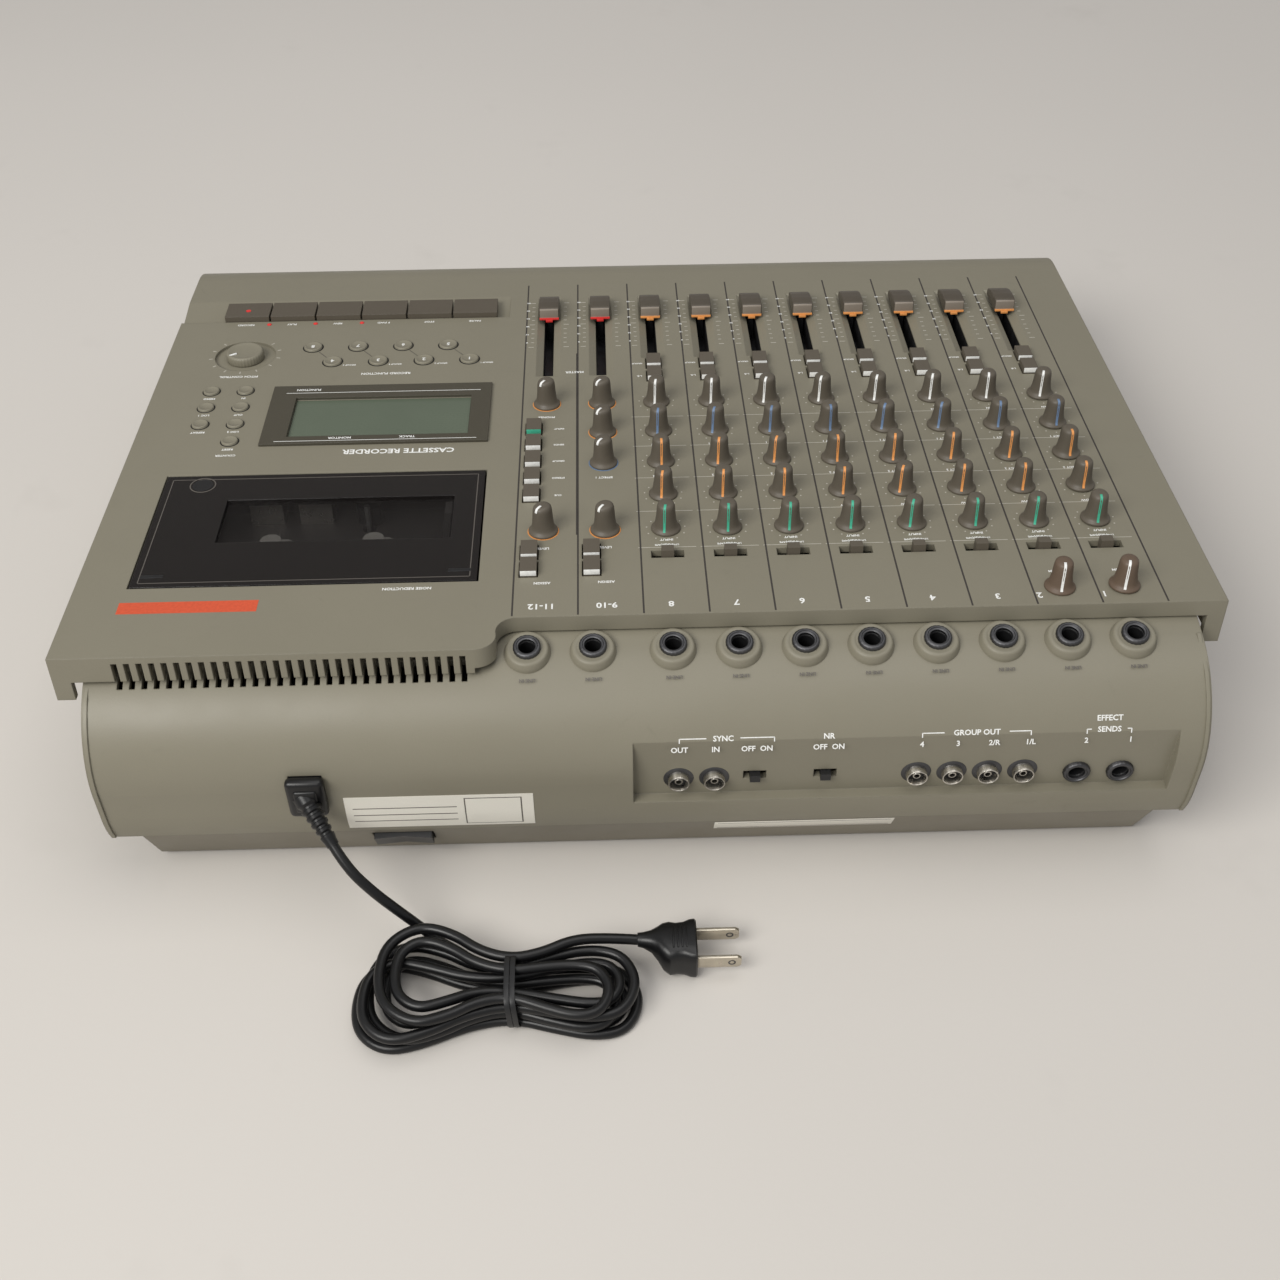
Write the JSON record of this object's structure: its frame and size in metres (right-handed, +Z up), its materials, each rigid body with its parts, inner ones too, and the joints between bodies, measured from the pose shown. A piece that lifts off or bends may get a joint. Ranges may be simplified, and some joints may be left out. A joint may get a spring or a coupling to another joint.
{
  "type": "multitrack cassette recorder",
  "caption": "Desktop cassette recorder with a built-in mixer: faders, rotary knobs, transport keys, a cassette bay under a hinged door, and a tied mains cord.",
  "frame": {"origin": "centre of the bounding box at the feet, without the cord", "axes": "+Z up, -Y towards the user, +X towards the deck side, to the user's right"},
  "size_m": [0.45, 0.4501, 0.1165],
  "materials": {
    "housing": "fine texture",
    "case": "fine texture",
    "knob": "matte",
    "key": "satin",
    "metal": "dull",
    "nickel": "polished",
    "board": "solder resist",
    "black": "matte",
    "rubber": "matte",
    "display": "liquid crystal",
    "bezel": "gloss",
    "window": "smoked",
    "brass": "plated"
  },
  "bodies": {
    "housing": {"bottom_case": "case", "case_screws": "metal", "cassette_well": "black", "cord_hank": "rubber", "cord_tie": "black", "deck_motor": "metal", "display_bezel": "bezel", "display_module": "display", "fader_bodies": "metal", "key_board": "board", "memory_buttons": "knob", "mixer_board": "board", "phone_jacks": "metal", "phono_jacks": "nickel", "plug_blades": "brass", "plug_body": "rubber", "potentiometers": "metal", "power_cord": "rubber", "rear_panel": "housing", "record_buttons": "knob", "rotary_knobs": "knob", "rubber_feet": "rubber", "strain_relief": "rubber", "tape_heads": "nickel", "top_cover": "housing", "transformer": "metal"},
    "channel_fader_1": {"channel_fader_1": "knob"},
    "channel_fader_2": {"channel_fader_2": "knob"},
    "channel_fader_3": {"channel_fader_3": "knob"},
    "channel_fader_4": {"channel_fader_4": "knob"},
    "channel_fader_5": {"channel_fader_5": "knob"},
    "channel_fader_6": {"channel_fader_6": "knob"},
    "channel_fader_7": {"channel_fader_7": "knob"},
    "channel_fader_8": {"channel_fader_8": "knob"},
    "stereo_master_fader": {"stereo_master_fader": "knob"},
    "submix_master_fader": {"submix_master_fader": "knob"},
    "channel_1_knob_1": {"channel_1_knob_1": "knob"},
    "channel_1_knob_2": {"channel_1_knob_2": "knob"},
    "channel_1_knob_3": {"channel_1_knob_3": "knob"},
    "channel_1_knob_4": {"channel_1_knob_4": "knob"},
    "channel_1_knob_5": {"channel_1_knob_5": "knob"},
    "trim_knob": {"trim_knob": "knob"},
    "pitch_knob": {"pitch_knob": "knob"},
    "key_record": {"key_record": "key"},
    "key_play": {"key_play": "key"},
    "key_rewind": {"key_rewind": "key"},
    "key_fast_forward": {"key_fast_forward": "key"},
    "key_stop": {"key_stop": "key"},
    "key_pause": {"key_pause": "key"},
    "channel_buttons": {"channel_buttons": "knob"},
    "monitor_buttons": {"monitor_buttons": "knob"},
    "input_select_switches": {"input_select_switches": "knob"},
    "rear_slide_switches": {"rear_slide_switches": "black"},
    "cassette_door": {"cassette_door": "case", "door_window": "window"},
    "supply_reel": {"supply_reel": "black"},
    "takeup_reel": {"takeup_reel": "black"},
    "capstan_flywheel": {"capstan_flywheel": "metal"},
    "pinch_roller": {"pinch_roller": "rubber"},
    "power_rocker": {"power_rocker": "black"}
  },
  "joints": [
    {"name": "channel_fader_1_slide", "type": "slide", "parent": "housing", "child": "channel_fader_1", "axis": [0, 0.9945, 0.1045], "range_m": [-0.006, 0.038]},
    {"name": "channel_fader_2_slide", "type": "slide", "parent": "housing", "child": "channel_fader_2", "axis": [0, 0.9945, 0.1045], "range_m": [-0.006, 0.038]},
    {"name": "channel_fader_3_slide", "type": "slide", "parent": "housing", "child": "channel_fader_3", "axis": [0, 0.9945, 0.1045], "range_m": [-0.006, 0.038]},
    {"name": "channel_fader_4_slide", "type": "slide", "parent": "housing", "child": "channel_fader_4", "axis": [0, 0.9945, 0.1045], "range_m": [-0.006, 0.038]},
    {"name": "channel_fader_5_slide", "type": "slide", "parent": "housing", "child": "channel_fader_5", "axis": [0, 0.9945, 0.1045], "range_m": [-0.006, 0.038]},
    {"name": "channel_fader_6_slide", "type": "slide", "parent": "housing", "child": "channel_fader_6", "axis": [0, 0.9945, 0.1045], "range_m": [-0.006, 0.038]},
    {"name": "channel_fader_7_slide", "type": "slide", "parent": "housing", "child": "channel_fader_7", "axis": [0, 0.9945, 0.1045], "range_m": [-0.006, 0.038]},
    {"name": "channel_fader_8_slide", "type": "slide", "parent": "housing", "child": "channel_fader_8", "axis": [0, 0.9945, 0.1045], "range_m": [-0.006, 0.038]},
    {"name": "stereo_master_fader_slide", "type": "slide", "parent": "housing", "child": "stereo_master_fader", "axis": [0, 0.9945, 0.1045], "range_m": [-0.006, 0.054]},
    {"name": "submix_master_fader_slide", "type": "slide", "parent": "housing", "child": "submix_master_fader", "axis": [0, 0.9945, 0.1045], "range_m": [-0.006, 0.054]},
    {"name": "channel_1_knob_1_turn", "type": "hinge", "parent": "housing", "child": "channel_1_knob_1", "pos_m": [-0.1872, -0.01923, 0.08782], "axis": [0, -0.1045, 0.9945], "range_deg": [-150, 150]},
    {"name": "channel_1_knob_2_turn", "type": "hinge", "parent": "housing", "child": "channel_1_knob_2", "pos_m": [-0.1872, 0.00603, 0.09048], "axis": [0, -0.1045, 0.9945], "range_deg": [-150, 150]},
    {"name": "channel_1_knob_3_turn", "type": "hinge", "parent": "housing", "child": "channel_1_knob_3", "pos_m": [-0.1872, 0.03129, 0.09313], "axis": [0, -0.1045, 0.9945], "range_deg": [-150, 150]},
    {"name": "channel_1_knob_4_turn", "type": "hinge", "parent": "housing", "child": "channel_1_knob_4", "pos_m": [-0.1872, 0.05655, 0.09579], "axis": [0, -0.1045, 0.9945], "range_deg": [-150, 150]},
    {"name": "channel_1_knob_5_turn", "type": "hinge", "parent": "housing", "child": "channel_1_knob_5", "pos_m": [-0.1872, 0.08181, 0.09844], "axis": [0, -0.1045, 0.9945], "range_deg": [-150, 150]},
    {"name": "trim_knob_turn", "type": "hinge", "parent": "housing", "child": "trim_knob", "pos_m": [-0.1872, 0.12726, 0.10322], "axis": [0, -0.1045, 0.9945], "range_deg": [-150, 150]},
    {"name": "pitch_knob_turn", "type": "hinge", "parent": "housing", "child": "pitch_knob", "pos_m": [0.1875, -0.07045, 0.08244], "axis": [0, -0.1045, 0.9945], "range_deg": [-150, 150]},
    {"name": "key_record_slide", "type": "slide", "parent": "housing", "child": "key_record", "axis": [0, 0.1045, -0.9945], "range_m": [0, 0.0015], "stiffness_N_per_m": 300, "springref_m": -0.001},
    {"name": "key_play_slide", "type": "slide", "parent": "housing", "child": "key_play", "axis": [0, 0.1045, -0.9945], "range_m": [0, 0.0015], "stiffness_N_per_m": 300, "springref_m": -0.001},
    {"name": "key_rewind_slide", "type": "slide", "parent": "housing", "child": "key_rewind", "axis": [0, 0.1045, -0.9945], "range_m": [0, 0.0015], "stiffness_N_per_m": 300, "springref_m": -0.001},
    {"name": "key_fast_forward_slide", "type": "slide", "parent": "housing", "child": "key_fast_forward", "axis": [0, 0.1045, -0.9945], "range_m": [0, 0.0015], "stiffness_N_per_m": 300, "springref_m": -0.001},
    {"name": "key_stop_slide", "type": "slide", "parent": "housing", "child": "key_stop", "axis": [0, 0.1045, -0.9945], "range_m": [0, 0.0015], "stiffness_N_per_m": 300, "springref_m": -0.001},
    {"name": "key_pause_slide", "type": "slide", "parent": "housing", "child": "key_pause", "axis": [0, 0.1045, -0.9945], "range_m": [0, 0.0015], "stiffness_N_per_m": 300, "springref_m": -0.001},
    {"name": "channel_buttons_slide", "type": "slide", "parent": "housing", "child": "channel_buttons", "axis": [0, 0.1045, -0.9945], "range_m": [0, 0.002], "stiffness_N_per_m": 600, "springref_m": -0.001},
    {"name": "monitor_buttons_slide", "type": "slide", "parent": "housing", "child": "monitor_buttons", "axis": [0, 0.1045, -0.9945], "range_m": [0, 0.002], "stiffness_N_per_m": 600, "springref_m": -0.001},
    {"name": "input_select_switches_slide", "type": "slide", "parent": "housing", "child": "input_select_switches", "axis": [1, 0, 0], "range_m": [-0.004, 0.004]},
    {"name": "rear_slide_switches_slide", "type": "slide", "parent": "housing", "child": "rear_slide_switches", "axis": [1, 0, 0], "range_m": [-0.0022, 0.0022]},
    {"name": "cassette_door_turn", "type": "hinge", "parent": "housing", "child": "cassette_door", "pos_m": [0.1352, 0.1128, 0.10019], "axis": [-1, 0, 0], "range_deg": [0, 60]},
    {"name": "supply_reel_turn", "type": "hinge", "parent": "housing", "child": "supply_reel", "pos_m": [0.15425, 0.07684, 0.09792], "axis": [0, -0.1045, 0.9945], "continuous": true},
    {"name": "takeup_reel_turn", "type": "hinge", "parent": "housing", "child": "takeup_reel", "pos_m": [0.11175, 0.07684, 0.09792], "axis": [0, -0.1045, 0.9945], "continuous": true},
    {"name": "capstan_flywheel_turn", "type": "hinge", "parent": "housing", "child": "capstan_flywheel", "pos_m": [0.117, 0.05297, 0.09541], "axis": [0, -0.1045, 0.9945], "continuous": true},
    {"name": "pinch_roller_turn", "type": "hinge", "parent": "housing", "child": "pinch_roller", "pos_m": [0.117, 0.04551, 0.09463], "axis": [0, -0.1045, 0.9945], "continuous": true},
    {"name": "power_rocker_turn", "type": "hinge", "parent": "housing", "child": "power_rocker", "pos_m": [0.0995, 0.17344, 0.01985], "axis": [0, 0.4249, 0.9052], "range_deg": [-5, 5]}
  ]
}
